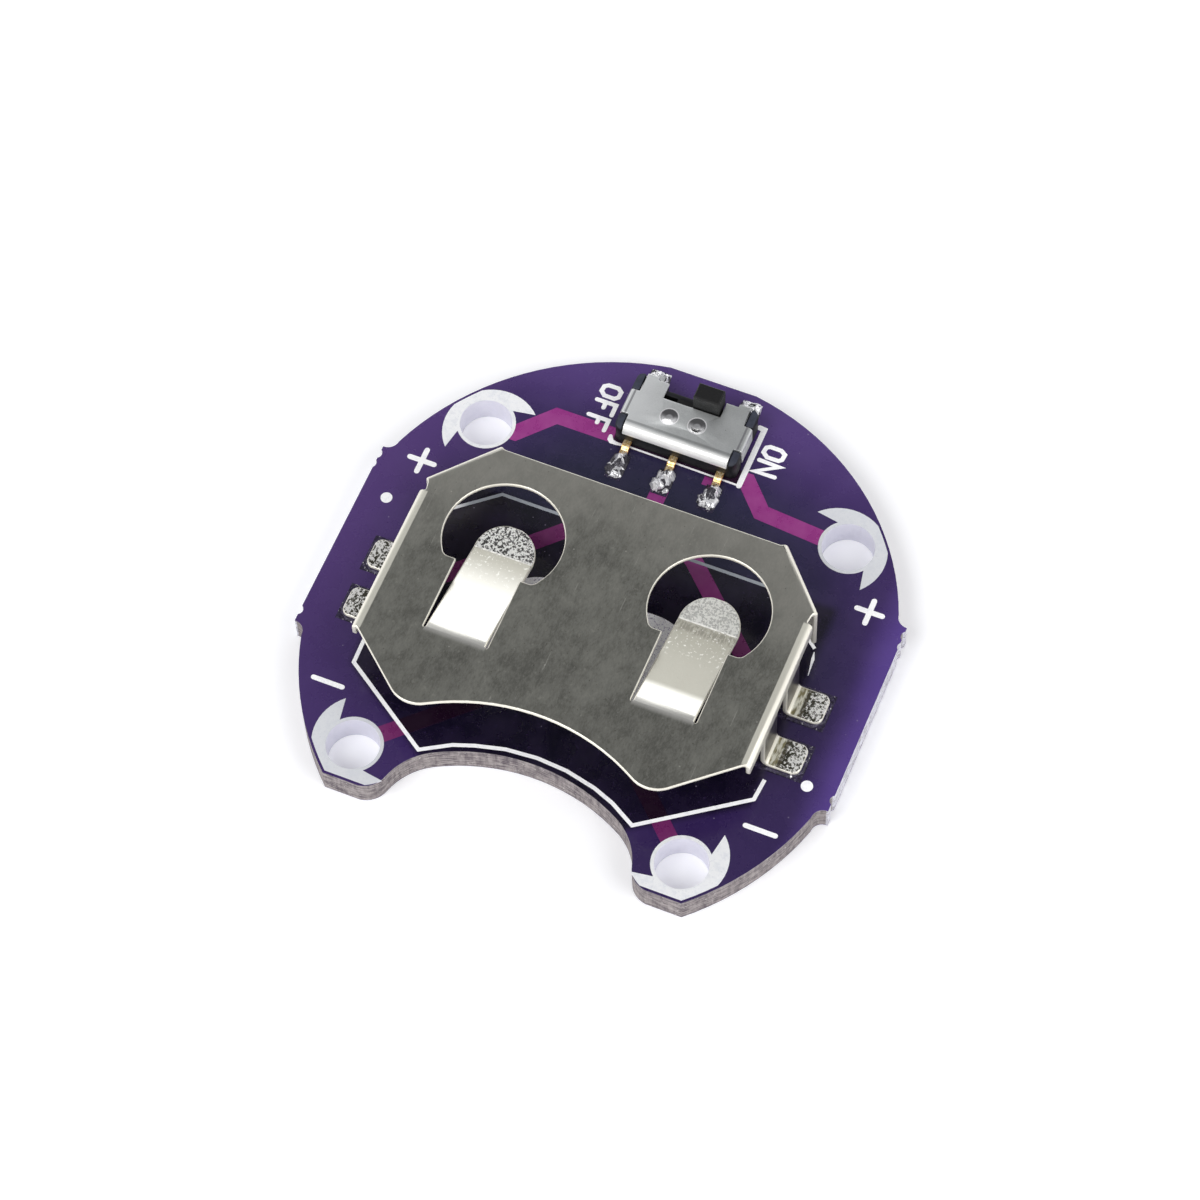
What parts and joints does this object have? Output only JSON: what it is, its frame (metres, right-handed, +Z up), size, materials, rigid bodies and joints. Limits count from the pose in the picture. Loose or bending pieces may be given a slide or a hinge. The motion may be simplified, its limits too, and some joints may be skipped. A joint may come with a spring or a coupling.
{
  "type": "coin cell holder board with slide switch",
  "caption": "Sew-on circuit board with a folded spring clip for a coin cell, a slide switch, plated corner holes and a thumb notch.",
  "frame": {"origin": "on the underside of the board, below the middle of the clip's side walls and of the contact pad", "axes": "+Z up out of the component side, +Y towards the slide switch, +X towards the ON end of the switch"},
  "size_m": [0.0282, 0.0276, 0.0051],
  "materials": {
    "laminate": "matt, woven layers at the cut edge",
    "mask": "glossy indigo lacquer",
    "tinned": "tinned, softly mottled",
    "copper": "bright copper under the lacquer",
    "spring_sheet": "satin nickel-plated spring sheet",
    "solder": "bright, lumpy",
    "black_plastic": "matt",
    "knob_plastic": "matt",
    "cover_sheet": "satin tin plate",
    "contact_strip": "bright spring bronze",
    "gold_lead": "thin gold-coloured plating"
  },
  "bodies": {
    "holder": {"board_core": "laminate", "mask_top": "mask", "mask_bottom": "mask", "sew_tab_rear_left": "tinned", "sew_tab_rear_right": "tinned", "sew_tab_front_left": "tinned", "sew_tab_front_right": "tinned", "contact_pad": "tinned", "clip_pad_left": "tinned", "clip_pad_right": "tinned", "lead_pad_off": "tinned", "lead_pad_common": "tinned", "lead_pad_on": "tinned", "hold_pad_left": "tinned", "hold_pad_right": "tinned", "trace_supply": "copper", "trace_common": "copper", "trace_ground_left": "copper", "trace_ground_right": "copper", "battery_clip": "spring_sheet", "clip_solder_left_rear": "solder", "clip_solder_left_front": "solder", "clip_solder_right_rear": "solder", "clip_solder_right_front": "solder", "switch_base": "black_plastic", "switch_cover": "cover_sheet", "switch_terminal_off": "gold_lead", "switch_terminal_common": "gold_lead", "switch_terminal_on": "gold_lead", "terminal_solder_off": "solder", "terminal_solder_common": "solder", "terminal_solder_on": "solder", "hold_solder_left": "solder", "hold_solder_right": "solder"},
    "slider": {"switch_knob": "knob_plastic", "switch_wiper": "contact_strip"}
  },
  "joints": [
    {"name": "switch_slide", "type": "slide", "parent": "holder", "child": "slider", "axis": [1, 0, 0], "range_m": [-0.0015, 0]}
  ]
}
